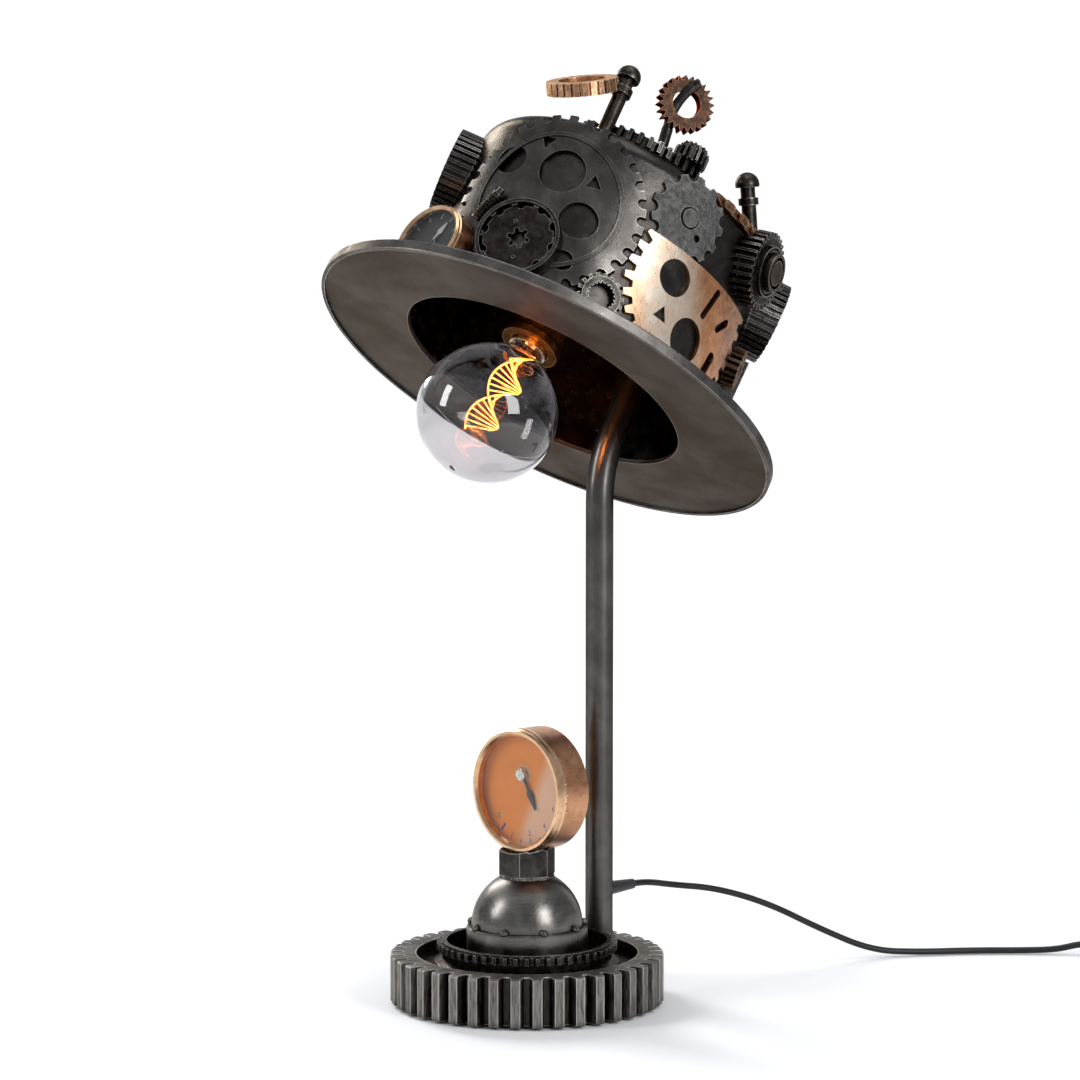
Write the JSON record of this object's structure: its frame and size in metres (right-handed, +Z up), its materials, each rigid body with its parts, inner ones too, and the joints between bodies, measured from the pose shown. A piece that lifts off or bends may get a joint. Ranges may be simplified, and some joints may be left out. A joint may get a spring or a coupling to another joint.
{
  "type": "table lamp",
  "caption": "Table lamp made of machine parts: a toothed base with a dial gauge, a bent pipe stem and a tilted hat shade covered in gears over a bare bulb.",
  "frame": {"origin": "centre of the felt's underside, on the table", "axes": "+Z up, the gauge and the hat's opening face -Y, +X to the lamp's left as seen from its front"},
  "size_m": [0.5039, 0.6613, 0.6287],
  "materials": {
    "felt": "matte",
    "dark_steel": "patinated",
    "bright_steel": "satin",
    "weld": "rough",
    "brushed_copper": "brushed",
    "polished_copper": "polished",
    "clear_glass": "clear",
    "orange_dial": "satin",
    "brass": "satin",
    "needle": "satin",
    "pale_steel": "satin",
    "lead": "matte",
    "brim_steel": "satin",
    "crown_steel": "patinated",
    "copper_sheet": "heat coloured",
    "rusty_steel": "rusty",
    "dark_dial": "satin",
    "pale_needle": "satin",
    "holder": "aged",
    "ceramic": "glazed",
    "cap_metal": "satin",
    "smoked_glass": "smoked",
    "filament": "glowing",
    "switch_plastic": "matte",
    "rocker_plastic": "matte",
    "plug_plastic": "matte",
    "plated_pins": "bright"
  },
  "bodies": {
    "lamp": {"base_felt": "felt", "base_gear": "dark_steel", "base_plate": "dark_steel", "synchro_ring": "dark_steel", "dome_skirt": "bright_steel", "dome_shell": "bright_steel", "gauge_nut": "dark_steel", "weld_beads": "weld", "gauge_case": "brushed_copper", "gauge_bezel": "polished_copper", "gauge_glass": "clear_glass", "gauge_dial": "orange_dial", "gauge_movement": "brass", "stem_tube": "dark_steel", "strain_relief": "lead", "holder_arm": "dark_steel", "inner_cable": "lead", "hat_brim": "brim_steel", "brim_band": "brim_steel", "hat_crown": "crown_steel", "clutch_plate": "crown_steel", "copper_gear_plate": "copper_sheet", "small_sprocket": "pale_steel", "dog_tooth_ring": "dark_steel", "freewheel_ring": "dark_steel", "freewheel_gear": "rusty_steel", "thread_stud": "pale_steel", "timing_wheels": "dark_steel", "side_gear": "dark_steel", "side_hub": "dark_steel", "rust_pinion": "rusty_steel", "back_blades": "dark_steel", "rear_plates": "crown_steel", "hat_gauge_case": "brushed_copper", "hat_gauge_bezel": "polished_copper", "hat_gauge_glass": "clear_glass", "hat_gauge_dial": "dark_dial", "top_flat_gear": "dark_steel", "pinion": "dark_steel", "dome_head_bolts": "dark_steel", "copper_ring_gear": "copper_sheet", "hook_rod": "dark_steel", "hook_ring_gear": "rusty_steel", "copper_chain": "polished_copper", "holder_shell": "holder", "holder_contacts": "ceramic", "cord_run_a": "lead", "switch_base": "switch_plastic", "switch_cover": "switch_plastic", "cord_run_b": "lead", "cord_coil": "lead", "plug_body": "plug_plastic", "plug_pins": "plated_pins"},
    "gauge_pointer": {"gauge_needle": "needle", "gauge_hub": "pale_steel"},
    "hat_gauge_pointer": {"hat_gauge_needle": "pale_needle"},
    "bulb": {"bulb_cap": "cap_metal", "bulb_glass": "smoked_glass", "bulb_filament": "filament"},
    "rocker": {"switch_rocker": "rocker_plastic"}
  },
  "joints": [
    {"name": "gauge_pointer_turn", "type": "hinge", "parent": "lamp", "child": "gauge_pointer", "pos_m": [0, 0, 0.1553], "axis": [0, -1, 0], "range_deg": [-72, 62]},
    {"name": "hat_gauge_pointer_turn", "type": "hinge", "parent": "lamp", "child": "hat_gauge_pointer", "pos_m": [-0.014, -0.06056, 0.50317], "axis": [0, -0.8387, 0.5446], "range_deg": [-110, 60]},
    {"name": "bulb_withdraw", "type": "slide", "parent": "lamp", "child": "bulb", "axis": [0, -0.6756, -0.7373], "range_m": [0, 0.028]},
    {"name": "switch_rock", "type": "hinge", "parent": "lamp", "child": "rocker", "pos_m": [0.21142, 0.4233, 0.0134], "axis": [-0.6839, 0.7295, 0], "range_deg": [-10, 0]}
  ]
}
